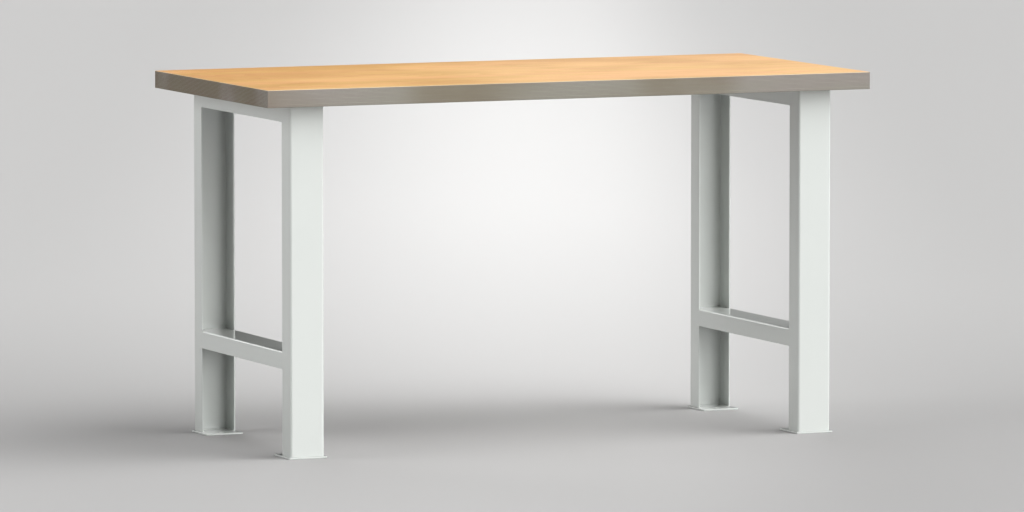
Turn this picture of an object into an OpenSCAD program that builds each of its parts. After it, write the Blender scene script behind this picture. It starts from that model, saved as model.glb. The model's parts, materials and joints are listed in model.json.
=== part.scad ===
/* [Worktop] */
// Length of the worktop, left to right
top_l = 1500; // [1000:10:2200]
// Depth of the worktop, front to back
top_d = 700; // [600:10:1000]
// Thickness of the worktop
top_t = 40; // [38:1:60]
// Thickness of one beech veneer before the stack is pressed to the worktop's thickness
veneer_t = 1.5; // [1.2:0.1:2.2]
// Height of the working surface above the floor
bench_h = 840; // [700:5:1000]
// Bevel along every edge and corner of the worktop
arris = 1; // [0.5:0.5:3]

/* [Leg frames] */
// Overhang of the worktop beyond each leg frame, at the ends
end_overhang = 75; // [30:1:200]
// Overhang of the worktop beyond the posts, at the front and at the back
front_overhang = 52; // [20:1:100]
// Thickness of the folded steel sheet
sheet_t = 3; // [2:0.5:4]
// Inside radius of every fold in the sheet
fold_r = 2; // [1:0.5:4]
// Width of a post's web, measured along the bench
post_w = 82; // [76:1:110]
// Depth of a post's two flanges
post_depth = 50; // [35:1:80]
// Height of the two rails
rail_h = 40; // [30:1:80]
// Height of the lower rail's upper face above the floor
lower_rail_top = 240; // [120:5:450]
// Gap between a rail's tongue and the folds inside a post
slip_gap = 0.3; // [0.1:0.1:0.6]

/* [Foot plates] */
// Thickness of a foot plate
foot_t = 4; // [3:0.5:8]
// How far a foot plate stands out past the post's sides
foot_side_lip = 5; // [4:1:20]
// How far a foot plate stands out past the post's web
foot_face_lip = 4; // [3:1:15]
// How far a foot plate runs on past the ends of the post's flanges
foot_tail = 36; // [30:1:60]
// Corner radius of a foot plate
foot_corner_r = 3; // [1:0.5:6]
// Diameter of the floor anchor's hole, in the middle of the tail
anchor_d = 11; // [9:0.5:14]

/* [Worktop screws] */
// Diameter of a screw's shank
screw_d = 8; // [5:0.5:10]
// Length of a screw under its head
screw_l = 35; // [25:1:36]
// Width of a screw's hexagon head across its flats
head_flats = 13; // [11:1:17]
// Height of a screw's head
head_h = 5.5; // [4:0.5:8]
// Outside diameter of a washer
washer_d = 20; // [18:0.5:22]
// Thickness of a washer
washer_t = 2; // [1:0.5:3]
// Room for a socket between a washer and the rail's fold
socket_room = 3; // [1:0.5:4]
// Distance from the ends of the post's flanges to the nearest screws
screw_setback = 50; // [20:5:80]
// Clearance round a screw in the rail's hole
rail_hole_gap = 0.5; // [0.3:0.1:1]
// Clearance round a screw in its pilot hole
pilot_gap = 0.1; // [0.05:0.05:0.3]
// Free depth left in the wood above a screw's point
pilot_depth = 2; // [1:0.5:3]

/* [Welds] */
// Leg of the beads under a rail's tongues, along the posts' webs
rail_weld = 2.5; // [1.5:0.5:4]
// Leg of the beads that hold a post on its foot plate
foot_weld = 3; // [2:0.5:4]

/* [Hidden] */
$fn = 48;
past = 10; // how far a cutting shape runs past what it cuts
sides = [-1, 1];

// The stack always has an odd number of veneers, so that both faces have the same grain
ply_count = 2 * floor(top_t / veneer_t / 2) + 1;
ply_t = top_t / ply_count;
board_z = bench_h - top_t;

// A leg frame is built about its own middle and then moved to either end
frame_d = top_d - 2 * front_overhang;
frame_x = top_l / 2 - end_overhang - post_w / 2;
fold_out_r = fold_r + sheet_t;
post_h = board_z - foot_t;
flange_end = frame_d / 2 - post_depth;

// A rail is as wide as the posts and butts against the ends of their flanges. Its web runs on
// between the flanges as a tongue at each end, and meets the posts' webs between their folds.
tongue_w = post_w - 2 * (fold_out_r + slip_gap);
tongue_l = frame_d - 2 * sheet_t;

foot_w = post_w + 2 * foot_side_lip;
foot_l = foot_face_lip + post_depth + foot_tail;
anchor_y = flange_end - foot_tail / 2;

// A screw goes up through its washer and the upper rail's web into the worktop
head_top = board_z - sheet_t - washer_t;
screw_tip = head_top + screw_l;
point_h = screw_d;
point_d = screw_d / 8;
screw_x = post_w / 2 - sheet_t - fold_r - socket_room - washer_d / 2;
screw_y = flange_end - screw_setback;
screw_places = [for (x = sides, y = sides) [x * screw_x, y * screw_y, 0]];

paint = [0.86, 0.88, 0.86];
face_beech = [0.93, 0.74, 0.50];
long_beech = [0.66, 0.60, 0.52];
cross_beech = [0.58, 0.52, 0.44];
zinc = [0.72, 0.74, 0.76];

// Rectangle that stands on the x axis, centred on the y axis, with round lower corners
module round_based_rectangle(w, h, r) {
    translate([-w / 2 + r, 0]) square([w - 2 * r, h]);
    translate([-w / 2, r]) square([w, h - r]);
    for (side = sides) translate([side * (w / 2 - r), r]) circle(r);
}

// Section of a folded channel, with its web along the x axis and its flanges rising from it
module channel_section(w, h) {
    difference() {
        round_based_rectangle(w, h, fold_out_r);
        translate([0, sheet_t]) round_based_rectangle(w - 2 * sheet_t, h, fold_r);
    }
}

// Rectangle about the origin with its four corners cut off at 45 degrees
module bevelled_rectangle(w, h) {
    x = w / 2;
    y = h / 2;
    polygon([
        [-x + arris, -y], [x - arris, -y], [x, -y + arris], [x, y - arris],
        [x - arris, y], [-x + arris, y], [-x, y - arris], [-x, -y + arris]
    ]);
}

// Rectangle about the origin with four round corners
module rounded_rectangle(w, h, r) {
    square([w - 2 * r, h], center = true);
    square([w, h - 2 * r], center = true);
    for (x = sides, y = sides) translate([x * (w / 2 - r), y * (h / 2 - r)]) circle(r);
}

// Quarter-round bead of weld that rises from the origin, in the corner of the x and y axes
module weld_bead(length, leg) {
    linear_extrude(length) intersection() {
        circle(leg);
        square(leg);
    }
}

// Turns a front piece into a rear piece where end is 1
module at_end(end) {
    mirror([0, end > 0 ? 1 : 0, 0]) children();
}

// Moves a piece to the left or the right leg frame
module at_frame(side) {
    translate([side * frame_x, 0, 0]) children();
}

// The whole board: bevelled all round, and drilled from below for the screws
module board() {
    difference() {
        intersection() {
            translate([0, 0, board_z + top_t / 2]) rotate([90, 0, 0])
                linear_extrude(top_d, center = true) bevelled_rectangle(top_l, top_t);
            translate([0, 0, board_z + top_t / 2]) rotate([90, 0, 90])
                linear_extrude(top_l, center = true) bevelled_rectangle(top_d, top_t);
            translate([0, 0, board_z]) linear_extrude(top_t) bevelled_rectangle(top_l, top_d);
        }
        for (side = sides, place = screw_places) at_frame(side) translate(place)
            translate([0, 0, board_z - past])
                cylinder(h = past + screw_tip + pilot_depth - board_z, d = screw_d + 2 * pilot_gap);
    }
}

// One veneer, sliced out of the board and counted up from the underside
module ply(i) {
    intersection() {
        board();
        translate([-top_l / 2 - past, -top_d / 2 - past, board_z + i * ply_t])
            cube([top_l + 2 * past, top_d + 2 * past, ply_t]);
    }
}

module top_face_ply() {
    color(face_beech) ply(ply_count - 1);
}

module bottom_face_ply() {
    color(face_beech) ply(0);
}

// Inner veneers whose grain runs along the bench
module long_grain_plies() {
    color(long_beech) for (i = [2 : 2 : ply_count - 3]) ply(i);
}

// Inner veneers whose grain runs from front to back
module cross_grain_plies() {
    color(cross_beech) for (i = [1 : 2 : ply_count - 2]) ply(i);
}

// A post is an upright channel whose web faces outwards
module post(side, end) {
    color(paint) at_frame(side) at_end(end) translate([0, -frame_d / 2, foot_t])
        linear_extrude(post_h) channel_section(post_w, post_depth);
}

// A rail is a channel from front to back with its web uppermost
module rail_channel(top_z) {
    translate([0, flange_end, top_z]) rotate([90, 0, 0]) linear_extrude(2 * flange_end)
        mirror([0, 1]) channel_section(post_w, rail_h);
    translate([-tongue_w / 2, -tongue_l / 2, top_z - sheet_t]) cube([tongue_w, tongue_l, sheet_t]);
}

// The upper rail carries the worktop and is drilled for its screws
module upper_rail(side) {
    color(paint) at_frame(side) difference() {
        rail_channel(board_z);
        for (place = screw_places) translate(place) translate([0, 0, board_z - sheet_t - past])
            cylinder(h = sheet_t + 2 * past, d = screw_d + 2 * rail_hole_gap);
    }
}

module lower_rail(side) {
    color(paint) at_frame(side) rail_channel(lower_rail_top);
}

// A foot plate closes the post's foot, and its drilled tail runs inwards past the flanges
module foot_plate(side, end) {
    color(paint) at_frame(side) at_end(end) difference() {
        translate([0, -frame_d / 2 - foot_face_lip + foot_l / 2, 0])
            linear_extrude(foot_t) rounded_rectangle(foot_w, foot_l, foot_corner_r);
        translate([0, -anchor_y, -past]) cylinder(h = foot_t + 2 * past, d = anchor_d);
    }
}

// Bead under a rail's tongue, along the post's web. The butt seams at the rail's sides are flush.
module tongue_bead(top_z) {
    translate([-tongue_w / 2, -tongue_l / 2, top_z - sheet_t]) mirror([0, 0, 1]) rotate([90, 0, 90])
        weld_bead(tongue_w, rail_weld);
}

// Beads along the inside of a post's web and flanges, on its foot plate
module foot_beads() {
    web_run = post_w - 2 * (fold_out_r + foot_weld);
    flange_run = post_depth - fold_out_r - foot_weld;
    translate([-web_run / 2, -frame_d / 2 + sheet_t, foot_t]) rotate([90, 0, 90])
        weld_bead(web_run, foot_weld);
    for (turned = [0, 1]) mirror([turned, 0, 0])
        translate([-post_w / 2 + sheet_t, -flange_end, foot_t]) rotate([90, 0, 0])
            weld_bead(flange_run, foot_weld);
}

module frame_welds(side) {
    color(paint) at_frame(side) for (end = sides) at_end(end) {
        tongue_bead(board_z);
        tongue_bead(lower_rail_top);
        foot_beads();
    }
}

// Hexagon-headed wood screws, driven up from inside the upper rail
module worktop_screws(side) {
    color(zinc) at_frame(side) for (place = screw_places) translate(place) {
        translate([0, 0, head_top - head_h])
            cylinder(h = head_h, d = head_flats / cos(30), $fn = 6);
        translate([0, 0, head_top]) cylinder(h = screw_l - point_h, d = screw_d);
        translate([0, 0, screw_tip - point_h]) cylinder(h = point_h, d1 = screw_d, d2 = point_d);
    }
}

module screw_washers(side) {
    color(zinc) at_frame(side) for (place = screw_places) translate(place)
        translate([0, 0, head_top]) difference() {
            cylinder(h = washer_t, d = washer_d);
            translate([0, 0, -past])
                cylinder(h = washer_t + 2 * past, d = screw_d + 2 * rail_hole_gap);
        }
}

top_face_ply();
long_grain_plies();
cross_grain_plies();
bottom_face_ply();
post(-1, -1);  // left_front_post
post(-1, 1);  // left_rear_post
upper_rail(-1);  // left_upper_rail
lower_rail(-1);  // left_lower_rail
foot_plate(-1, -1);  // left_front_foot_plate
foot_plate(-1, 1);  // left_rear_foot_plate
frame_welds(-1);  // left_frame_welds
worktop_screws(-1);  // left_worktop_screws
screw_washers(-1);  // left_screw_washers
post(1, -1);  // right_front_post
post(1, 1);  // right_rear_post
upper_rail(1);  // right_upper_rail
lower_rail(1);  // right_lower_rail
foot_plate(1, -1);  // right_front_foot_plate
foot_plate(1, 1);  // right_rear_foot_plate
frame_welds(1);  // right_frame_welds
worktop_screws(1);  // right_worktop_screws
screw_washers(1);  // right_screw_washers
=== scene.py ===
# %% [markdown]
# # A workbench with a beech top on two painted steel leg frames
# The bench is a real construction: a board glued from thin beech veneers lies on two leg frames, and
# each frame is welded from folded sheet steel. Its shapes come from the CAD model and are exact, so
# this lesson is about finish: how oiled beech, cut veneer edges, powder coat and zinc are told apart
# by colour, roughness and very small relief.
#
# The CAD model is loaded first and never changed.

# %% Load the bench as a fixed frame
import json
import math

import bmesh
import bpy
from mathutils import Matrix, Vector


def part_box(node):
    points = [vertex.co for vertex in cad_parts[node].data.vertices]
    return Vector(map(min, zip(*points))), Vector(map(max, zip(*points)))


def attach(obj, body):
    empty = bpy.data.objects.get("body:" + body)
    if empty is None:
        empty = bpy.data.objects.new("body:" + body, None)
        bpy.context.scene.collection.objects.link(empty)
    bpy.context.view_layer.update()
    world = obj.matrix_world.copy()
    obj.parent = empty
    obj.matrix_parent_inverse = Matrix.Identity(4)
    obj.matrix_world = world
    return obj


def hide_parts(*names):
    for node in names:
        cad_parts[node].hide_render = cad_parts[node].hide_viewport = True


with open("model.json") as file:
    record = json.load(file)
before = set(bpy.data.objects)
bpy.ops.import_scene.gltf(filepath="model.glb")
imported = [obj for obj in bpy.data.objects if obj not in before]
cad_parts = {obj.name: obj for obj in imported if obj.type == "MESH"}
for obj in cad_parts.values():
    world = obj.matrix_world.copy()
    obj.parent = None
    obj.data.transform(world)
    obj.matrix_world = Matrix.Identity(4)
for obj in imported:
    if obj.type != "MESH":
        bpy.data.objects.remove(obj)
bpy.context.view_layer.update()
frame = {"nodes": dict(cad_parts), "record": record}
nodes = frame["nodes"]

# %% [markdown]
# ## A helper for wiring nodes
# A procedural material is a small circuit: textures and sums feed a shader. Written out in full,
# each node takes three or four lines. This helper adds a node, sets its properties and joins or fills
# its inputs in one call, so that the materials further down read like recipes. An input is joined if
# it is given a socket, and filled if it is given a number or a colour.

# %% The wiring helper
class Wiring:
    """Adds nodes to one node tree and joins them."""

    def __init__(self, tree):
        self.tree = tree

    def add(self, kind, inputs=None, **settings):
        node = self.tree.nodes.new("ShaderNode" + kind)
        for name, value in settings.items():
            setattr(node, name, value)
        for key, value in (inputs or {}).items():
            if isinstance(value, bpy.types.NodeSocket):
                self.tree.links.new(value, node.inputs[key])
            else:
                node.inputs[key].default_value = value
        return node

    def math(self, operation, a, b=0.0, c=0.0):
        node = self.add("Math", {0: a, 1: b, 2: c}, operation=operation)
        return node.outputs[0]

    def vector(self, operation, a, b):
        key = "Scale" if operation == "SCALE" else 1
        node = self.add("VectorMath", {0: a, key: b}, operation=operation)
        return node.outputs["Value" if operation == "DOT_PRODUCT" else "Vector"]

    def remap(self, value, low, high, to_low=0.0, to_high=1.0):
        """A smooth step: to_low below low, and to_high above high."""
        node = self.add("MapRange", {0: value, 1: low, 2: high, 3: to_low, 4: to_high},
                        interpolation_type="SMOOTHSTEP")
        return node.outputs[0]

    def mix(self, factor, a, b, blend="MIX"):
        node = self.add("Mix", {0: factor, 6: a, 7: b}, data_type="RGBA", blend_type=blend)
        return node.outputs[2]


def new_group(name, inputs, outputs):
    """An empty node group with named sockets, and its two ends."""
    tree = bpy.data.node_groups.new(name, "ShaderNodeTree")
    for socket_name, kind, default in inputs:
        socket = tree.interface.new_socket(name=socket_name, in_out="INPUT",
                                           socket_type="NodeSocket" + kind)
        socket.default_value = default
    for socket_name, kind in outputs:
        tree.interface.new_socket(name=socket_name, in_out="OUTPUT",
                                  socket_type="NodeSocket" + kind)
    start = tree.nodes.new("NodeGroupInput").outputs
    end = tree.nodes.new("NodeGroupOutput").inputs
    return tree, Wiring(tree), start, end


def new_material(name, **shader_values):
    """A material with one Principled shader, and the wiring to dress it."""
    material = bpy.data.materials.new(name)
    material.use_nodes = True
    material.node_tree.nodes.clear()
    wiring = Wiring(material.node_tree)
    values = {key.replace("_", " "): value for key, value in shader_values.items()}
    shader = wiring.add("BsdfPrincipled", values)
    wiring.add("OutputMaterial", {"Surface": shader.outputs["BSDF"]})
    return material, wiring, shader


def place(wiring, group, **inputs):
    """One use of a shared group in a material, with this material's own values."""
    node = wiring.add("Group", node_tree=group)
    for key, value in inputs.items():
        socket = node.inputs[key.replace("_", " ")]
        if isinstance(value, bpy.types.NodeSocket):
            wiring.tree.links.new(value, socket)
        else:
            socket.default_value = value
    return node.outputs


MM_PER_METRE = 1000.0


def position_in_mm(wiring):
    """Where the shaded point is in the bench's own frame, in millimetres."""
    place_in_metres = wiring.add("TexCoord").outputs["Object"]
    return wiring.vector("SCALE", place_in_metres, MM_PER_METRE)


print("helpers ready")

# %% [markdown]
# ## The camera
# The photograph is a long-lens view: upright edges stay upright and the far legs are hardly smaller
# than the near ones. Its camera was found by fitting a pinhole camera to the bench's edges, with the
# bench at its real size. It stands about 18.5 m off, to the left of the front, and looks down by
# 5.3 degrees. A lens that long is kept as a focal length on the usual 36 mm sensor.

# %% Place the camera
CAMERA_PLACE = Vector((-7.3627, -16.8567, 2.1241))
CAMERA_TURN = math.radians(23.594)
CAMERA_DIP = math.radians(5.322)
FOCAL_LENGTH_PX = 7968.3
PHOTO_WIDTH_PX = 1024
SENSOR_WIDTH_MM = 36.0
SIGHT_LIMIT = 300.0

camera = bpy.data.objects.new("photo_camera", bpy.data.cameras.new("photo_camera"))
bpy.context.scene.collection.objects.link(camera)
camera.location = CAMERA_PLACE
camera.rotation_euler = (math.pi / 2 - CAMERA_DIP, 0.0, -CAMERA_TURN)
camera.data.sensor_width = SENSOR_WIDTH_MM
camera.data.lens = FOCAL_LENGTH_PX / PHOTO_WIDTH_PX * SENSOR_WIDTH_MM
camera.data.clip_end = SIGHT_LIMIT
bpy.context.scene.camera = camera
print("lens in mm:", round(camera.data.lens, 1), "distance in m:", round(CAMERA_PLACE.length, 2))

# %% [markdown]
# ## Light
# The shadow that the worktop throws on the posts is short, so the main light stands low, and the
# channels of the rear posts darken towards their right-hand corner, so it stands in front and to the
# right, with a narrower light beside it. The left faces are lit too, but the insides that face left
# are not, so a light stands to the left and a little behind. A weak one behind the bench lifts the
# shadows. Lamps close by would light one leg more than the other. Sun lamps with a very wide disc act
# as endless soft boxes instead, and light the bench evenly.
#
# The bright line along the lower rails' rounded edge can only be a mirror image of something behind
# the bench. Lit from there, the matt paint would get too bright, so one light is hidden from matt
# surfaces and only shines in glossy ones. The narrow light and the weak one are hidden from glossy
# surfaces. The rails' upper faces are dark, though they are painted as the rest is: glossy paint seen
# at five degrees is a mirror, and shows a dim studio. So the world is bright for the camera, soft for
# matt light, and dim in mirrors. Only the right-hand rail is a little lighter, which a dim panel
# behind the bench explains.

# %% Place the lamps and the world
def soft_sun(name, strength, turn, height, width):
    """A wide sun. turn is in degrees from the front towards the right, height is above the floor."""
    lamp = bpy.data.lights.new(name, "SUN")
    lamp.energy = strength
    lamp.angle = math.radians(width)
    sun = bpy.data.objects.new(name, lamp)
    bpy.context.scene.collection.objects.link(sun)
    turn, height = math.radians(turn), math.radians(height)
    towards_lamp = Vector((math.sin(turn) * math.cos(height), -math.cos(turn) * math.cos(height),
                           math.sin(height)))
    sun.rotation_euler = towards_lamp.to_track_quat("Z", "Y").to_euler()
    return sun


soft_sun("key_light", 5.95, turn=44.0, height=33.0, width=92.0)
right_light = soft_sun("right_light", 1.15, turn=62.0, height=24.0, width=50.0)
right_light.visible_glossy = False
soft_sun("left_light", 1.8, turn=-98.0, height=20.0, width=48.0)
rear_light = soft_sun("rear_light", 2.2, turn=182.0, height=11.0, width=50.0)
rear_light.visible_glossy = False
gloss_light = soft_sun("gloss_light", 0.45, turn=184.0, height=22.0, width=26.0)
gloss_light.visible_diffuse = False

PANEL_PLACE = Vector((2.5, 3.0, 1.45))
PANEL_WIDTH, PANEL_HEIGHT = 2.4, 1.0
PANEL_POWER = 1.3
PANEL_SPREAD = math.radians(50.0)
panel_lamp = bpy.data.lights.new("rear_panel", "AREA")
panel_lamp.shape = "RECTANGLE"
panel_lamp.size, panel_lamp.size_y = PANEL_WIDTH, PANEL_HEIGHT
panel_lamp.energy = PANEL_POWER
panel_lamp.spread = PANEL_SPREAD
panel = bpy.data.objects.new("rear_panel", panel_lamp)
bpy.context.scene.collection.objects.link(panel)
panel.location = PANEL_PLACE
panel.rotation_euler = (math.pi / 2, 0.0, math.pi - CAMERA_TURN)
panel.visible_camera = False
panel.visible_diffuse = False

WORLD_LIGHT = 0.03
WORLD_SEEN = 0.80
WORLD_MIRRORED = 0.03
world = bpy.data.worlds.new("studio")
bpy.context.scene.world = world
world.use_nodes = True
world.node_tree.nodes.clear()
wiring = Wiring(world.node_tree)
path = wiring.add("LightPath").outputs
matt = wiring.add("MapRange", {0: path["Is Glossy Ray"], 3: WORLD_LIGHT, 4: WORLD_MIRRORED}).outputs[0]
strength = wiring.add("MapRange", {0: path["Is Camera Ray"], 3: matt, 4: WORLD_SEEN}).outputs[0]
background = wiring.add("Background", {"Color": (1.0, 1.0, 1.0, 1.0), "Strength": strength})
wiring.add("OutputWorld", {"Surface": background.outputs["Background"]})
bpy.context.scene.view_settings.view_transform = "Standard"

# %% [markdown]
# ## The floor
# A plain pale studio floor. It is one disc, so wide that its rim never shows. Its colour holds painted
# light and shade: it is painted darker near the bench and lighter away from it, as a lit studio floor
# looks. A studio is also lit unevenly: a pool of light lies behind the bench, and the floor is dimmer
# at both sides. Lamps with a narrow beam would make such a pool, but they would light the bench as
# well, so the pool is a painted pool of light in the floor's colour, and the dim sides are painted
# shade. Seen from underneath the floor is clear, so that the bench's underside can be looked at.

# %% Make the floor
FLOOR_RADIUS = 90.0
FLOOR_DROP = 0.0002
RIM_STEPS = 96
# Painted shade near the bench, and a lighter floor further off.
SHADED_NEAR_FLOOR, FAR_FLOOR = (0.355, 0.351, 0.349, 1.0), (0.437, 0.433, 0.43, 1.0)
NEAR_EDGE, FAR_EDGE = 0.0, 3.8
# The tone of the painted pool of light behind the bench.
PAINTED_POOL_TONE = (0.60, 0.596, 0.592, 1.0)
POOL_HALF_WIDTH = 1.5
POOL_FRONT, POOL_BACK = (0.05, 0.85), (1.3, 6.5)
FRONT_SHARE, BACK_SHARE = 0.45, 0.55
POOL_FADE, POOL_END, POOL_LEFT_OVER = 7.0, 22.0, 0.4
# Painted shade that dims both sides of the floor.
PAINTED_SHADE_LEFT, PAINTED_SHADE_RIGHT = (-1.0, 0.1), (0.25, 0.9)
LEFT_SHARE, RIGHT_SHARE = 0.87, 0.86

floor_mesh = bpy.data.meshes.new("studio_floor")
bm = bmesh.new()
bmesh.ops.create_circle(bm, cap_ends=True, radius=FLOOR_RADIUS, segments=RIM_STEPS)
bm.to_mesh(floor_mesh)
bm.free()
floor = bpy.data.objects.new("studio_floor", floor_mesh)
floor.location.z = -FLOOR_DROP
bpy.context.scene.collection.objects.link(floor)

material, wiring, shader = new_material("studio_floor", Roughness=0.85, Specular_IOR_Level=0.2)
place_on_floor = wiring.add("TexCoord").outputs["Object"]
reach = wiring.add("VectorMath", {0: place_on_floor}, operation="LENGTH").outputs["Value"]
# Painted shade: darker near the bench, lighter far off.
colour = wiring.mix(wiring.remap(reach, NEAR_EDGE, FAR_EDGE), SHADED_NEAR_FLOOR, FAR_FLOOR)
turned = wiring.add("VectorRotate", {"Vector": place_on_floor, "Angle": CAMERA_TURN},
                    rotation_type="Z_AXIS").outputs["Vector"]
aside, away, _ = wiring.add("SeparateXYZ", {0: turned}).outputs
across = wiring.remap(wiring.math("ABSOLUTE", aside), 0.0, POOL_HALF_WIDTH, 1.0, 0.0)
near_rise = wiring.remap(away, *POOL_FRONT, 0.0, FRONT_SHARE)
far_rise = wiring.remap(away, *POOL_BACK, 0.0, BACK_SHARE)
fade = wiring.remap(away, POOL_FADE, POOL_END, 1.0, POOL_LEFT_OVER)
pool = wiring.math("MULTIPLY", wiring.math("MULTIPLY", across, wiring.math("ADD", near_rise, far_rise)),
                   fade)
# Painted pool of light behind the bench.
colour = wiring.mix(pool, colour, PAINTED_POOL_TONE)
# Painted shade at both sides.
dim = wiring.math("MULTIPLY", wiring.remap(aside, *PAINTED_SHADE_LEFT, LEFT_SHARE, 1.0),
                  wiring.remap(aside, *PAINTED_SHADE_RIGHT, 1.0, RIGHT_SHARE))
colour = wiring.vector("SCALE", colour, dim)
wiring.tree.links.new(colour, shader.inputs["Base Color"])
below = wiring.add("NewGeometry").outputs["Backfacing"]
clear = wiring.add("BsdfTransparent").outputs["BSDF"]
either = wiring.add("MixShader", {0: below, 1: shader.outputs["BSDF"], 2: clear})
end = next(n for n in wiring.tree.nodes if n.type == "OUTPUT_MATERIAL")
wiring.tree.links.new(either.outputs["Shader"], end.inputs["Surface"])
floor_mesh.materials.append(material)
print("floor radius in m:", FLOOR_RADIUS)

# %% [markdown]
# ## Shared effects
# Four effects are used by more than one finish, so each is a node group with its own inputs: the grain
# of peeled beech, the slow drift of its tone over the board with painted light and sheen in it, the
# stack of veneers with its glue lines and end grain, and the fine relief of a sprayed or plated metal.
#
# Beech for such a board is peeled off the log in one long sheet. The knife crosses the year rings at
# a shallow angle, and that gives wide, pale, flame-shaped figure. Contour lines of a stretched noise
# have just that form: the noise is squeezed along the grain, and its height is cut into equal steps.
# In each step the tone rises slowly and drops at once, as early wood turns into late wood. A Wave
# texture could draw rings as well, but they would stay parallel. Beech is also known by its flecks,
# the short brown dashes of its rays, which are drawn as stretched cells. Last comes a slow drift: the
# board is painted paler and whiter towards its right-hand front end, a painted sheen and light, and
# more ochre and darker towards its left rear end, a painted shade, with random patches of tone over
# it; broad bands lean to pink or to yellow.

# %% Peeled beech grain
beech_grain, wiring, start, end = new_group(
    "beech_grain",
    [("Position", "Vector", (0.0, 0.0, 0.0)), ("Rings", "Float", 15.0)],
    [("Figure", "Float"), ("Fibres", "Float"), ("Flecks", "Float"), ("Relief", "Float")])

FIBRE_STRETCH = (0.018, 0.9, 0.9)
along = wiring.vector("MULTIPLY", start["Position"], FIBRE_STRETCH)
fibres = wiring.add("TexNoise", {"Vector": along, "Scale": 1.0, "Detail": 4.0,
                                 "Roughness": 0.66}).outputs["Fac"]
wiring.tree.links.new(fibres, end["Fibres"])

FIGURE_STRETCH = (0.0011, 0.0065, 0.05)
LATE_WOOD, RING_EDGE = 0.45, 0.96
RING_FRAY = 0.008
EARLY_SHARE, LATE_SHARE = 0.3, 0.7
stretched = wiring.vector("MULTIPLY", start["Position"], FIGURE_STRETCH)
hills = wiring.add("TexNoise", {"Vector": stretched, "Scale": 1.0, "Detail": 3.0,
                                "Roughness": 0.42, "Distortion": 0.25}).outputs["Fac"]
rough_hills = wiring.math("MULTIPLY_ADD", fibres, RING_FRAY, hills)
ring = wiring.math("FRACT", wiring.math("MULTIPLY", rough_hills, start["Rings"]))
late = wiring.remap(ring, LATE_WOOD, RING_EDGE)
drop = wiring.remap(ring, RING_EDGE, 1.0, 1.0, 0.0)
early = wiring.math("MULTIPLY", ring, EARLY_SHARE)
figure = wiring.math("MULTIPLY", wiring.math("MULTIPLY_ADD", late, LATE_SHARE, early), drop)
wiring.tree.links.new(figure, end["Figure"])

FLECK_STRETCH = (0.24, 1.5, 1.5)
CELLS_LEFT_OUT = 0.6
FLECK_CORE, FLECK_RIM = 0.14, 0.36
FLECK_DEPTH = 0.5
cells = wiring.add("TexVoronoi", {"Vector": wiring.vector("MULTIPLY", start["Position"],
                                                          FLECK_STRETCH),
                                  "Scale": 1.0, "Randomness": 1.0})
kept = wiring.math("GREATER_THAN", wiring.add("SeparateColor", {
    "Color": cells.outputs["Color"]}).outputs["Red"], CELLS_LEFT_OUT)
dashes = wiring.remap(cells.outputs["Distance"], FLECK_CORE, FLECK_RIM, 1.0, 0.0)
flecks = wiring.math("MULTIPLY", dashes, kept)
wiring.tree.links.new(flecks, end["Flecks"])
relief = wiring.math("SUBTRACT", fibres, wiring.math("MULTIPLY", flecks, FLECK_DEPTH))
wiring.tree.links.new(relief, end["Relief"])
print("group:", beech_grain.name, "nodes:", len(beech_grain.nodes))

# %% Drift of tone over the board, with painted light and sheen
tone_and_sheen_drift, wiring, start, end = new_group(
    "tone_and_sheen_drift", [("Position", "Vector", (0.0, 0.0, 0.0))], [("Pale And Sheen", "Float"), ("Pink", "Float")])
# The slope is painted light: the board is painted paler and whiter to the right and front, a painted
# sheen, and darker to the left and rear, a painted shade. The patches are random tone.
PAINTED_LIGHT_SLOPE = (0.00048, -0.0008, 0.0)
PATCHES = (0.0030, 0.0055, 0.004)
PATCH_GAIN, PATCH_OFFSET = 2.6, -0.8
BANDS = (0.0016, 0.012, 0.012)
YELLOW_BELOW, PINK_ABOVE = 0.35, 0.65
# Painted light and shade across the board, with random patches added below.
painted_light_slope = wiring.vector("DOT_PRODUCT", start["Position"], PAINTED_LIGHT_SLOPE)
patches = wiring.add("TexNoise", {"Vector": wiring.vector("MULTIPLY", start["Position"], PATCHES),
                                  "Scale": 1.0, "Detail": 2.0, "Roughness": 0.4}).outputs["Fac"]
pale = wiring.math("ADD", painted_light_slope, wiring.math("MULTIPLY_ADD", patches, PATCH_GAIN, PATCH_OFFSET))
wiring.tree.links.new(wiring.remap(pale, 0.0, 1.0), end["Pale And Sheen"])
bands = wiring.add("TexNoise", {"Vector": wiring.vector("MULTIPLY", start["Position"], BANDS),
                                "Scale": 1.0, "Detail": 3.0, "Roughness": 0.5}).outputs["Fac"]
wiring.tree.links.new(wiring.remap(bands, YELLOW_BELOW, PINK_ABOVE), end["Pink"])
print("group:", tone_and_sheen_drift.name, "nodes:", len(tone_and_sheen_drift.nodes))

# %% [markdown]
# The board is a stack, and each veneer is a slice of its height. Counting slices from the height of
# the shaded point gives every veneer its own tone, and the distance to the nearest slice boundary
# gives the thin dark glue line. The lines are kept off the flat faces with the surface's own normal,
# which also tells the oiled upper face from the underside, which is left raw and greyer.

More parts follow.
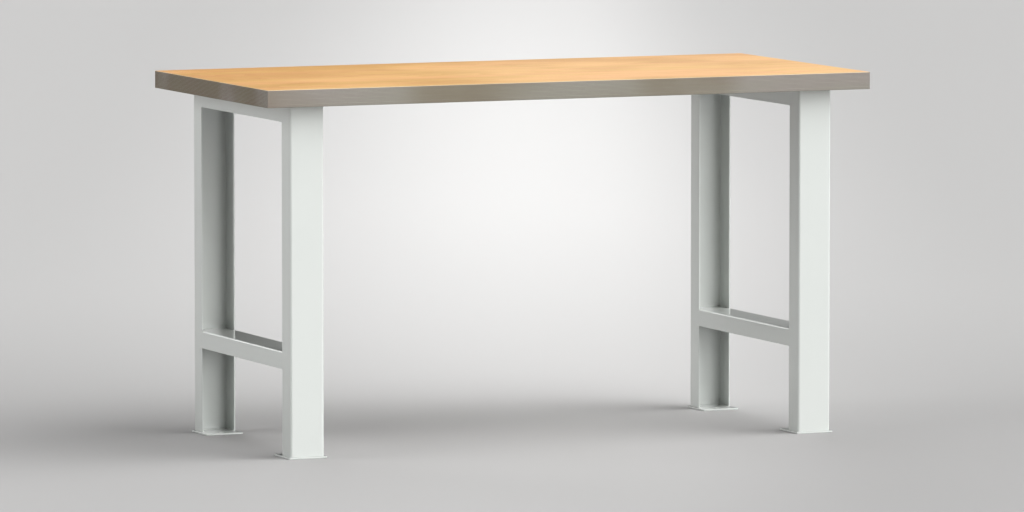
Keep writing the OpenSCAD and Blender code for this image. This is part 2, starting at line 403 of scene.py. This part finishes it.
# %% Veneer stack and end grain
veneer_stack, wiring, start, end = new_group(
    "veneer_stack",
    [("Position", "Vector", (0.0, 0.0, 0.0)), ("Underside", "Float", 800.0),
     ("Veneer", "Float", 1.5), ("Glue", "Float", 0.1), ("Fibre Direction", "Vector", (1.0, 0.0, 0.0))],
    [("Tone", "Float"), ("Glue Line", "Float"), ("End Grain", "Float"),
     ("Upper Arris", "Float"), ("Face", "Float"), ("Raw Face", "Float")])
FACE_LEAN = (0.8, 0.95)
ARRIS_LEAN = (0.3, 0.5)
UNDERSIDE_LEAN = (-0.8, -0.6)
CUT_ACROSS = (0.3, 0.9)
height = wiring.add("SeparateXYZ", {0: start["Position"]}).outputs["Z"]
layers = wiring.math("DIVIDE", wiring.math("SUBTRACT", height, start["Underside"]), start["Veneer"])
number = wiring.math("FLOOR", layers)
tone = wiring.add("TexWhiteNoise", {"W": number}, noise_dimensions="1D").outputs["Value"]
wiring.tree.links.new(tone, end["Tone"])
off_middle = wiring.math("ABSOLUTE", wiring.math("SUBTRACT", wiring.math("SUBTRACT", layers, number),
                                                 0.5))
to_glue = wiring.math("MULTIPLY", wiring.math("SUBTRACT", 0.5, off_middle), start["Veneer"])
line = wiring.math("LESS_THAN", to_glue, start["Glue"])
normal = wiring.add("NewGeometry").outputs["Normal"]
lean = wiring.add("SeparateXYZ", {0: normal}).outputs["Z"]
face = wiring.remap(wiring.math("ABSOLUTE", lean), *FACE_LEAN)
wiring.tree.links.new(face, end["Face"])
wiring.tree.links.new(wiring.remap(lean, *ARRIS_LEAN), end["Upper Arris"])
wiring.tree.links.new(wiring.remap(lean, *UNDERSIDE_LEAN, 1.0, 0.0), end["Raw Face"])
on_edge = wiring.math("SUBTRACT", 1.0, face)
wiring.tree.links.new(wiring.math("MULTIPLY", line, on_edge), end["Glue Line"])
across = wiring.math("ABSOLUTE", wiring.vector("DOT_PRODUCT", normal, start["Fibre Direction"]))
wiring.tree.links.new(wiring.remap(across, *CUT_ACROSS), end["End Grain"])
print("group:", veneer_stack.name, "nodes:", len(veneer_stack.nodes))

# %% [markdown]
# Powder coat melts into a skin that is not quite level: close up it has the skin of an orange, with
# dimples of a millimetre or two. Plated zinc has a finer, duller version of the same. One group makes
# both, and it also gives a slow drift in tone, because no coat is equally thick everywhere.

# %% Coat relief
coat_relief, wiring, start, end = new_group(
    "coat_relief",
    [("Position", "Vector", (0.0, 0.0, 0.0)), ("Dimple Size", "Float", 1.6),
     ("Drift Size", "Float", 260.0)],
    [("Height", "Float"), ("Drift", "Float")])
per_mm = wiring.math("DIVIDE", 1.0, start["Dimple Size"])
dimples = wiring.add("TexNoise", {"Vector": start["Position"], "Scale": per_mm, "Detail": 1.5,
                                  "Roughness": 0.4}).outputs["Fac"]
wiring.tree.links.new(dimples, end["Height"])
per_patch = wiring.math("DIVIDE", 1.0, start["Drift Size"])
drift = wiring.add("TexNoise", {"Vector": start["Position"], "Scale": per_patch,
                                "Detail": 2.0}).outputs["Fac"]
wiring.tree.links.new(drift, end["Drift"])
print("group:", coat_relief.name, "nodes:", len(coat_relief.nodes))

# %% [markdown]
# ## Beech finishes
# All the veneers are the same wood, but three things change how they look: which way the fibres run,
# whether the knife, the saw or the sander made the surface, and the glue. One function makes the
# three finishes from those facts, and it also paints light and shade into them. The face veneer is
# light, warm and sanded. The inner veneers only show their sawn edges, which the photograph shows as a
# dull taupe band round the light top. The band follows the drift of the face and is painted darker at
# its ochre end, a painted shade, and its leaning bands turn it a little to olive or to rose. Where
# fibres are cut across they take a colour of their own. The thin bevel along the top edge is cut
# through clean wood, so it is pale, and where it faces up it is painted paler still, a painted
# highlight. The underside is the same veneer, not oiled.

# %% The beech finishes
BOARD_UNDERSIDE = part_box("bottom_face_ply")[0].z * MM_PER_METRE
BOARD_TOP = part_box("top_face_ply")[1].z * MM_PER_METRE
VENEER = BOARD_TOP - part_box("top_face_ply")[0].z * MM_PER_METRE
FACE_LIGHT, FACE_DARK = (0.648, 0.371, 0.152, 1.0), (0.549, 0.287, 0.102, 1.0)
GLUE_DARK = (0.10, 0.07, 0.05, 1.0)
# The upper arris is pale cut wood, painted paler still as a painted highlight.
ARRIS_PALE_HIGHLIGHT = (0.62, 0.46, 0.28, 1.0)
RAW_LIGHT, RAW_DARK = (0.40, 0.34, 0.26, 1.0), (0.34, 0.275, 0.20, 1.0)
FLECK_BROWN = (0.30, 0.15, 0.06, 1.0)
OCHRE_AND_SHADE_TINT, PALE_AND_SHEEN_TINT = (0.84, 0.84, 0.83, 1.0), (1.05, 1.13, 1.26, 1.0)
YELLOW_TINT, PINK_TINT = (0.985, 1.02, 0.90, 1.0), (1.015, 0.96, 0.98, 1.0)
SAWN_LIGHT, SAWN_DARK = (0.272, 0.243, 0.20, 1.0), (0.222, 0.194, 0.155, 1.0)
SAWN_SHADE_AND_TONE_TINT, EDGE_SHADE_AND_TONE_TINT = (0.78, 0.745, 0.69, 1.0), (0.87, 0.82, 0.75, 1.0)
OLIVE_TINT, ROSE_TINT = (0.98, 1.03, 0.93, 1.0), (1.03, 0.97, 1.0, 1.0)
NO_TINT = (1.0, 1.0, 1.0, 1.0)
RAW_TINT_SHARE = 0.3
FLECK_SHARE = 0.55
STREAK_PALE, STREAK_DARK = 0.32, 0.72
STREAK_SHARE, FIGURE_SHARE = 0.45, 0.55
SAWN_STREAK_SHARE, SAWN_TONE_SHARE = 0.7, 0.6
FIBRE_LOW, FIBRE_HIGH, DULLER_FIBRES = 0.2, 0.8, 0.12
WOOD_RELIEF_STRENGTH, RELIEF_DEPTH = 0.35, 0.0001


def beech(name, end_grain, fibres_along_y, smooth):
    """Oiled beech. end_grain is its colour where fibres are cut, smooth its least roughness."""
    material, wiring, shader = new_material(name, Specular_IOR_Level=0.1)
    position = position_in_mm(wiring)
    if fibres_along_y:
        turned = wiring.add("SeparateXYZ", {0: position}).outputs
        grain_position = wiring.add("CombineXYZ", {0: turned["Y"], 1: turned["X"],
                                                   2: turned["Z"]}).outputs["Vector"]
    else:
        grain_position = position
    direction = (0.0, 1.0, 0.0) if fibres_along_y else (1.0, 0.0, 0.0)
    grain = place(wiring, beech_grain, Position=grain_position)
    stack = place(wiring, veneer_stack, Position=position, Underside=BOARD_UNDERSIDE, Veneer=VENEER,
                  Fibre_Direction=direction)
    drift = place(wiring, tone_and_sheen_drift, Position=position)
    streaks = wiring.remap(grain["Fibres"], STREAK_PALE, STREAK_DARK)
    light = wiring.mix(stack["Raw Face"], FACE_LIGHT, RAW_LIGHT)
    dark = wiring.mix(stack["Raw Face"], FACE_DARK, RAW_DARK)
    flames = wiring.math("MULTIPLY", grain["Figure"], FIGURE_SHARE)
    shade = wiring.math("MULTIPLY_ADD", streaks, STREAK_SHARE, flames)
    wood = wiring.mix(shade, light, dark)
    wood = wiring.mix(wiring.math("MULTIPLY", grain["Flecks"], FLECK_SHARE), wood, FLECK_BROWN)
    band = wiring.mix(drift["Pink"], YELLOW_TINT, PINK_TINT)
    share = wiring.remap(stack["Raw Face"], 0.0, 1.0, 1.0, RAW_TINT_SHARE)
    wood = wiring.mix(share, wood, band, blend="MULTIPLY")
    sawn = wiring.mix(wiring.math("MULTIPLY", streaks, SAWN_STREAK_SHARE), SAWN_LIGHT, SAWN_DARK)
    sawn = wiring.mix(wiring.math("MULTIPLY", stack["Tone"], SAWN_TONE_SHARE), sawn, SAWN_DARK)
    # Painted shade with random tone: the sawn band is darker where the drift is ochre, mostly at the
    # left rear.
    sawn = wiring.mix(1.0, sawn, wiring.mix(drift["Pale And Sheen"], SAWN_SHADE_AND_TONE_TINT, NO_TINT), blend="MULTIPLY")
    sawn = wiring.mix(1.0, sawn, wiring.mix(drift["Pink"], OLIVE_TINT, ROSE_TINT), blend="MULTIPLY")
    sawn = wiring.mix(stack["End Grain"], sawn, end_grain)
    # More painted shade at the ochre end of the sawn band.
    sawn = wiring.mix(1.0, sawn, wiring.mix(drift["Pale And Sheen"], EDGE_SHADE_AND_TONE_TINT, NO_TINT), blend="MULTIPLY")
    # Painted highlight on the arris that faces up, over the pale cut wood.
    sawn = wiring.mix(stack["Upper Arris"], sawn, ARRIS_PALE_HIGHLIGHT)
    sawn = wiring.mix(stack["Glue Line"], sawn, GLUE_DARK)
    wood = wiring.mix(stack["Face"], sawn, wood)
    # Painted light and sheen: the face is paler and whiter to the right and front, and darker and more
    # ochre to the left and rear.
    wood = wiring.mix(1.0, wood, wiring.mix(drift["Pale And Sheen"], OCHRE_AND_SHADE_TINT, PALE_AND_SHEEN_TINT), blend="MULTIPLY")
    wiring.tree.links.new(wood, shader.inputs["Base Color"])
    rough = wiring.remap(grain["Fibres"], FIBRE_LOW, FIBRE_HIGH, smooth, smooth + DULLER_FIBRES)
    wiring.tree.links.new(rough, shader.inputs["Roughness"])
    bump = wiring.add("Bump", {"Strength": WOOD_RELIEF_STRENGTH, "Distance": RELIEF_DEPTH,
                               "Height": grain["Relief"]})
    wiring.tree.links.new(bump.outputs["Normal"], shader.inputs["Normal"])
    return material


FACE_END_GRAIN = (0.29, 0.272, 0.243, 1.0)
LONG_END_GRAIN = (0.276, 0.262, 0.235, 1.0)
CROSS_END_GRAIN = (0.208, 0.18, 0.144, 1.0)
SANDED, SAWN = 0.46, 0.5
beech_face = beech("beech_face", FACE_END_GRAIN, fibres_along_y=False, smooth=SANDED)
beech_long_grain = beech("beech_long_grain", LONG_END_GRAIN, fibres_along_y=False, smooth=SAWN)
beech_cross_grain = beech("beech_cross_grain", CROSS_END_GRAIN, fibres_along_y=True, smooth=SAWN)
beech_names = [finish.name for finish in (beech_face, beech_long_grain, beech_cross_grain)]
print("veneer in mm:", round(VENEER, 2), "finishes:", beech_names)

# %% [markdown]
# ## Metal finishes
# The frames have a light grey powder coat, slightly cool, with a satin sheen. The dimples are far too
# fine to model, so they are a bump. The screws and washers are steel with bright zinc on it.

# %% The metal finishes
PAINT_DARK, PAINT_LIGHT = (0.495, 0.52, 0.50, 1.0), (0.52, 0.54, 0.52, 1.0)
PAINT_DIMPLE, PAINT_RELIEF_STRENGTH = 1.6, 0.45
PAINT_HEIGHTS, PAINT_ROUGHNESS = (0.2, 0.8), (0.32, 0.40)
ZINC_DARK, ZINC_LIGHT = (0.60, 0.61, 0.60, 1.0), (0.66, 0.70, 0.76, 1.0)
ZINC_DIMPLE, ZINC_PATCH = 0.5, 9.0
ZINC_HEIGHTS, ZINC_ROUGHNESS = (0.3, 0.7), (0.28, 0.42)
ZINC_RELIEF_STRENGTH, ZINC_RELIEF_DEPTH = 0.3, 0.00005


def powder_coat():
    material, wiring, shader = new_material("powder_coat", Coat_Weight=0.9, Coat_Roughness=0.12)
    coat = place(wiring, coat_relief, Position=position_in_mm(wiring), Dimple_Size=PAINT_DIMPLE)
    colour = wiring.mix(coat["Drift"], PAINT_DARK, PAINT_LIGHT)
    wiring.tree.links.new(colour, shader.inputs["Base Color"])
    rough = wiring.remap(coat["Height"], *PAINT_HEIGHTS, *PAINT_ROUGHNESS)
    wiring.tree.links.new(rough, shader.inputs["Roughness"])
    bump = wiring.add("Bump", {"Strength": PAINT_RELIEF_STRENGTH, "Distance": RELIEF_DEPTH,
                               "Height": coat["Height"]})
    wiring.tree.links.new(bump.outputs["Normal"], shader.inputs["Normal"])
    return material


def zinc_plate():
    material, wiring, shader = new_material("zinc_plate", Metallic=1.0)
    coat = place(wiring, coat_relief, Position=position_in_mm(wiring), Dimple_Size=ZINC_DIMPLE,
                 Drift_Size=ZINC_PATCH)
    colour = wiring.mix(coat["Drift"], ZINC_DARK, ZINC_LIGHT)
    wiring.tree.links.new(colour, shader.inputs["Base Color"])
    rough = wiring.remap(coat["Height"], *ZINC_HEIGHTS, *ZINC_ROUGHNESS)
    wiring.tree.links.new(rough, shader.inputs["Roughness"])
    bump = wiring.add("Bump", {"Strength": ZINC_RELIEF_STRENGTH, "Distance": ZINC_RELIEF_DEPTH,
                               "Height": coat["Height"]})
    wiring.tree.links.new(bump.outputs["Normal"], shader.inputs["Normal"])
    return material


finishes = {
    "beech_face": beech_face,
    "beech_long_grain": beech_long_grain,
    "beech_cross_grain": beech_cross_grain,
    "powder_coat": powder_coat(),
    "zinc_plate": zinc_plate(),
}
print("finishes:", sorted(finishes))

# %% [markdown]
# ## Softened sheet edges
# The sheets are cut by a laser, tumbled to break the sharp edges, and then coated, and the powder
# draws back from an edge as it melts. So no painted edge is sharp: each has a radius of about half a
# millimetre, and that thin round catches the light as a fine line. The CAD solids have sharp cuts.
# The pieces made here start from the CAD node's own mesh, which stays as it is: the copy is welded
# together, flat parts are merged to one face each, and only edges that turn by more than 40 degrees
# are bevelled, so the folds keep their exact radius. A Bevel modifier would do the same, but it needs
# the welding first, and the glTF's stored normals would no longer fit its faces.

# %% Round the cut edges of posts, rails and foot plates
SAME_POINT = 1e-6
FLAT_ANGLE = math.radians(0.4)
CUT_ANGLE = math.radians(40.0)
EDGE_ROUND = 0.0006
ROUND_STEPS = 2


def finish_mesh(name, bm, slot, sharp_angle=CUT_ANGLE):
    """Turns a bmesh into a shown piece that rides on the bench and has its finish."""
    bmesh.ops.recalc_face_normals(bm, faces=bm.faces)
    mesh = bpy.data.meshes.new(name)
    bm.to_mesh(mesh)
    bm.free()
    mesh.polygons.foreach_set("use_smooth", [True] * len(mesh.polygons))
    mesh.set_sharp_from_angle(angle=sharp_angle)
    piece = bpy.data.objects.new(name, mesh)
    bpy.context.scene.collection.objects.link(piece)
    mesh.materials.append(finishes[slot])
    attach(piece, "root")
    return piece


def softened(node_name):
    bm = bmesh.new()
    bm.from_mesh(nodes[node_name].data)
    bmesh.ops.remove_doubles(bm, verts=bm.verts, dist=SAME_POINT)
    bmesh.ops.dissolve_limit(bm, angle_limit=FLAT_ANGLE, verts=bm.verts, edges=bm.edges)
    cuts = [edge for edge in bm.edges if edge.is_manifold and edge.calc_face_angle() > CUT_ANGLE]
    bmesh.ops.bevel(bm, geom=cuts, offset=EDGE_ROUND, segments=ROUND_STEPS, profile=0.5,
                    affect="EDGES", clamp_overlap=True, harden_normals=False)
    bmesh.ops.triangulate(bm, faces=[face for face in bm.faces if len(face.verts) > 4])
    piece = finish_mesh(f"{node_name}_coated", bm, "powder_coat")
    piece.modifiers.new("even_shading", "WEIGHTED_NORMAL").keep_sharp = True
    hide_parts(node_name)
    return piece


for side_name in ("left", "right"):
    for part in ("front_post", "rear_post", "upper_rail", "lower_rail", "front_foot_plate",
                 "rear_foot_plate"):
        piece = softened(f"{side_name}_{part}")
        before = len(nodes[f"{side_name}_{part}"].data.polygons)
        print(piece.name, "faces:", len(piece.data.polygons), "on the CAD node:", before)

# %% [markdown]
# ## Weld beads
# The frames are welded with a wire that melts in drops. Each drop freezes as a crescent that lies on
# the one before it, so a bead looks like a row of fallen coins, and it starts and ends in a round
# nose. The CAD beads are plain quarter rounds. The finer ones stay inside them: a quarter round is
# swept along the corner, and its radius dips between two drops. A dip that comes later in the middle
# of the arc than at its sides gives the crescent. The alternative, a bump in the material, would not
# show in the bead's outline.
#
# The rails' sides are flush with the posts, and no seam shows there in the photograph, because that
# weld is ground down before the frame is coated. A disc never gets it quite level, so a low, wide
# swelling is left across the seam. It is swept in the same way, from a flat arc.

# %% Sweep rippled beads along the corners
DROP_PITCH = 0.0019
DROP_DIP = 0.13
RINGS_PER_DROP = 5
ARC_STEPS = 6
CRESCENT_LAG = 0.35
NOSE_LEFT = 0.06
WANDER = 0.05
WANDER_WAVES, WANDER_SHIFT_Z, WANDER_SHIFT_X = 700.0, 90.0, 40.0


def join_rings(bm, rings):
    """Skins a list of rings of points, and caps both ends."""
    loops = [[bm.verts.new(point) for point in ring] for ring in rings]
    for low, high in zip(loops, loops[1:]):
        for i in range(len(low)):
            j = (i + 1) % len(low)
            bm.faces.new((low[i], low[j], high[j], high[i]))
    bm.faces.new(loops[0])
    bm.faces.new(loops[-1])


def weld_bead(bm, start, along, wall, other_wall, length, leg):
    """A bead in the corner of two walls. start is where it begins, along is the way the torch went."""
    drops = max(3, round(length / DROP_PITCH))
    pitch = length / drops
    rings = []
    for step in range(drops * RINGS_PER_DROP + 1):
        run = step / RINGS_PER_DROP * pitch
        nose = min(run, length - run) / leg
        round_end = math.sqrt(max(NOSE_LEFT, 1.0 - max(0.0, 1.0 - nose) ** 2))
        phase = run * WANDER_WAVES + start.z * WANDER_SHIFT_Z + start.x * WANDER_SHIFT_X
        wander = 1.0 - WANDER * (0.5 + 0.5 * math.sin(phase))
        ring = [start + along * run]
        for turn in range(ARC_STEPS + 1):
            angle = turn / ARC_STEPS * math.pi / 2
            crescent = CRESCENT_LAG * math.sin(2 * angle)
            dip = 1.0 - abs(math.sin(math.pi * (run / pitch - crescent)))
            radius = leg * round_end * wander * (1.0 - DROP_DIP * dip)
            ring.append(start + along * run
                        + radius * (math.cos(angle) * wall + math.sin(angle) * other_wall))
        rings.append(ring)
    join_rings(bm, rings)


SEAM_HALF_WIDTH = 0.0035
SEAM_SWELL = 0.00025
SEAM_ROOT = 0.0009
SEAM_WAVE = 0.009
SEAM_STEPS = 24
SEAM_FADE_POWER, SEAM_END_LEFT = 6, 0.04
SWELL_WAVE, WIDTH_WAVE, WIDTH_TURNS = 0.2, 0.1, 4.0
SEAM_RIM_SUNK = 0.00003


def ground_seam(bm, start, along, outward, across, length):
    """A butt weld ground almost level. start is on the flush faces, at one end of the seam."""
    rings = []
    for step in range(SEAM_STEPS + 1):
        run = length * step / SEAM_STEPS
        from_middle = abs(2.0 * step / SEAM_STEPS - 1.0)
        end_fade = math.sqrt(max(SEAM_END_LEFT, 1.0 - from_middle ** SEAM_FADE_POWER))
        swell_wave = math.sin(run / SEAM_WAVE * 2 * math.pi + start.y)
        swell = SEAM_SWELL * end_fade * (1.0 - SWELL_WAVE + SWELL_WAVE * swell_wave)
        width_wave = math.sin(run / SEAM_WAVE * WIDTH_TURNS)
        half_width = SEAM_HALF_WIDTH * (1.0 - WIDTH_WAVE + WIDTH_WAVE * width_wave)
        middle = start + along * run
        ring = [middle - outward * SEAM_ROOT]
        for turn in range(ARC_STEPS + 1):
            share = 2.0 * turn / ARC_STEPS - 1.0
            rise = swell * (1.0 - share * share) - SEAM_RIM_SUNK
            ring.append(middle + across * half_width * share + outward * rise)
        rings.append(ring)
    join_rings(bm, rings)


SHEET = 0.003
FOLD_OUTSIDE = 0.005
TONGUE_MARGIN = 0.0053
TONGUE_LEG, FOOT_LEG = 0.0025, 0.003
UP = Vector((0.0, 0.0, 1.0))


def frame_beads(side_name):
    bm = bmesh.new()
    for end_name in ("front", "rear"):
        post_low, post_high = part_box(f"{side_name}_{end_name}_post")
        inward = Vector((0.0, 1.0 if end_name == "front" else -1.0, 0.0))
        flange_end = post_high.y if end_name == "front" else post_low.y
        web_inside = (post_low.y if end_name == "front" else post_high.y) + inward.y * SHEET
        floor_of_post = post_low.z
        rails = [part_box(f"{side_name}_{rail}_rail") for rail in ("upper", "lower")]
        for _, rail_high in rails:
            start = Vector((post_low.x + TONGUE_MARGIN, web_inside, rail_high.z - SHEET))
            weld_bead(bm, start, Vector((1.0, 0.0, 0.0)), inward, -UP,
                      post_high.x - post_low.x - 2 * TONGUE_MARGIN, TONGUE_LEG)
        for way, wall_x in ((-1.0, post_low.x), (1.0, post_high.x)):
            outward = Vector((way, 0.0, 0.0))
            for rail_low, rail_high in rails:
                start = Vector((wall_x, flange_end, rail_low.z))
                ground_seam(bm, start, UP, outward, inward,
                            rail_high.z - rail_low.z - FOLD_OUTSIDE)
            start = Vector((wall_x - way * SHEET, flange_end, floor_of_post))
            run = abs(flange_end - web_inside) - (FOLD_OUTSIDE - SHEET) - FOOT_LEG
            weld_bead(bm, start, -inward, -outward, UP, run, FOOT_LEG)
        margin = FOLD_OUTSIDE + FOOT_LEG
        start = Vector((post_low.x + margin, web_inside, floor_of_post))
        weld_bead(bm, start, Vector((1.0, 0.0, 0.0)), inward, UP,
                  post_high.x - post_low.x - 2 * margin, FOOT_LEG)
    beads = finish_mesh(f"{side_name}_rippled_welds", bm, "powder_coat")
    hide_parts(f"{side_name}_frame_welds")
    return beads


for side_name in ("left", "right"):
    beads = frame_beads(side_name)
    print(beads.name, "faces:", len(beads.data.polygons))

# %% [markdown]
# ## Screws and washers
# The worktop is held from below by hexagon-headed wood screws, one in each corner of an upper rail.
# A forged head has a bevel round its end face, because the corners of the hexagon are turned down,
# and a wood screw has a steep, sharp thread that runs out at a point. Both are rings of points whose
# radius changes with the angle: one formula gives the hexagon, the other the thread.

# %% Make the hexagon-headed screws
AROUND = 36
ACROSS_FLATS = 0.013
HEAD_HEIGHT = 0.0055
HEAD_BEVEL = math.radians(30.0)
FLAT_SHARE = 0.96
SHANK_RADIUS, CORE_RADIUS = 0.004, 0.0028
PLAIN_SHANK = 0.009
THREAD_PITCH = 0.0036
THREAD_STEPS = 6
RIDGE_SHARE = 0.28
THREAD_EDGE = math.radians(28.0)
POINT_LENGTH = 0.008
POINT_RADIUS = 0.0005


def ring_of(radius, height, centre):
    """A ring of points. The radius may be a function of the angle, and the height of the radius."""
    points = []
    for step in range(AROUND):
        angle = step / AROUND * 2 * math.pi
        out = radius(angle) if callable(radius) else radius
        up = height(out) if callable(height) else height
        points.append(centre + Vector((out * math.cos(angle), out * math.sin(angle), up)))
    return points


def hexagon(angle):
    sixth = math.pi / 3
    return ACROSS_FLATS / 2 / math.cos((angle + sixth / 2) % sixth - sixth / 2)


def wood_screw(bm, centre, bearing, tip):
    """A screw on the upright line through centre. bearing is the height of the face under its head."""
    end_face = bearing - HEAD_HEIGHT
    flat_radius = ACROSS_FLATS / 2 * FLAT_SHARE

    def bevelled(radius):
        return end_face + (radius - flat_radius) * math.tan(HEAD_BEVEL)

    rings = [ring_of(flat_radius, end_face, centre),
             ring_of(hexagon, bevelled, centre),
             ring_of(hexagon, bearing, centre),
             ring_of(SHANK_RADIUS, bearing, centre),
             ring_of(SHANK_RADIUS, bearing + PLAIN_SHANK, centre)]
    steps = round((tip - bearing - PLAIN_SHANK) / THREAD_PITCH * THREAD_STEPS)
    for step in range(1, steps + 1):
        height = bearing + PLAIN_SHANK + (tip - bearing - PLAIN_SHANK) * step / steps
        to_tip = tip - height
        cone = POINT_RADIUS + (SHANK_RADIUS - POINT_RADIUS) * min(1.0, to_tip / POINT_LENGTH)
        fade_in = min(1.0, step / THREAD_STEPS)

        def thread(angle):
            phase = (height / THREAD_PITCH - angle / (2 * math.pi)) % 1.0
            ridge = max(0.0, 1.0 - abs(phase - 0.5) / RIDGE_SHARE)
            core = SHANK_RADIUS + (CORE_RADIUS - SHANK_RADIUS) * fade_in
            return min(cone, core + (SHANK_RADIUS - core) * ridge)

        rings.append(ring_of(thread, height, centre))
    join_rings(bm, rings)


SCREW_LENGTH = 0.035
WASHER_RADIUS = 0.010


def screw_places(side_name):
    """The middles of one frame's four washers, and the heights of their two faces."""
    low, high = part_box(f"{side_name}_screw_washers")
    middles = [Vector((x, y, 0.0)) for x in (low.x + WASHER_RADIUS, high.x - WASHER_RADIUS)
               for y in (low.y + WASHER_RADIUS, high.y - WASHER_RADIUS)]
    return middles, low.z, high.z


for side_name in ("left", "right"):
    bm = bmesh.new()
    middles, bearing, _ = screw_places(side_name)
    for middle in middles:
        wood_screw(bm, middle, bearing, bearing + SCREW_LENGTH)
    screws = finish_mesh(f"{side_name}_threaded_screws", bm, "zinc_plate", THREAD_EDGE)
    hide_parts(f"{side_name}_worktop_screws")
    print(screws.name, "faces:", len(screws.data.polygons))

# %% [markdown]
# A washer is punched out of sheet. The punch rolls the edge over on the side where it goes in and
# leaves the other side square, so the profile has one round corner outside and one inside.

# %% Make the punched washers
WASHER_HOLE = 0.0045
WASHER_ROLL = 0.0005
ROLL_STEPS = 4


def washer_profile(bottom, top):
    """Radius and height of each corner, from the top face over the rolled edges to the hole."""
    profile = [(WASHER_HOLE, top), (WASHER_RADIUS, top)]
    turns = [step / ROLL_STEPS * math.pi / 2 for step in range(ROLL_STEPS + 1)]
    for angle in turns:
        profile.append((WASHER_RADIUS - WASHER_ROLL * (1 - math.cos(angle)),
                        bottom + WASHER_ROLL * (1 - math.sin(angle))))
    for angle in turns:
        profile.append((WASHER_HOLE + WASHER_ROLL * (1 - math.sin(angle)),
                        bottom + WASHER_ROLL * (1 - math.cos(angle))))
    return profile


for side_name in ("left", "right"):
    bm = bmesh.new()
    middles, bottom, top = screw_places(side_name)
    for middle in middles:
        loops = [[bm.verts.new(point) for point in ring_of(radius, height, middle)]
                 for radius, height in washer_profile(bottom, top)]
        for one, two in zip(loops, loops[1:] + loops[:1]):
            for i in range(AROUND):
                j = (i + 1) % AROUND
                bm.faces.new((one[i], one[j], two[j], two[i]))
    washers = finish_mesh(f"{side_name}_punched_washers", bm, "zinc_plate")
    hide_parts(f"{side_name}_screw_washers")
    print(washers.name, "faces:", len(washers.data.polygons))

# %% [markdown]
# ## Dress the CAD pieces
# The record says which finish each piece takes, so the finishes have the same names as its material
# slots, and one loop dresses the whole bench.

# %% Give every piece its finish
for subpart in frame["record"]["subparts"]:
    piece = nodes[subpart["node"]]
    piece.data.materials.clear()
    piece.data.materials.append(finishes[subpart["material_slot"]])
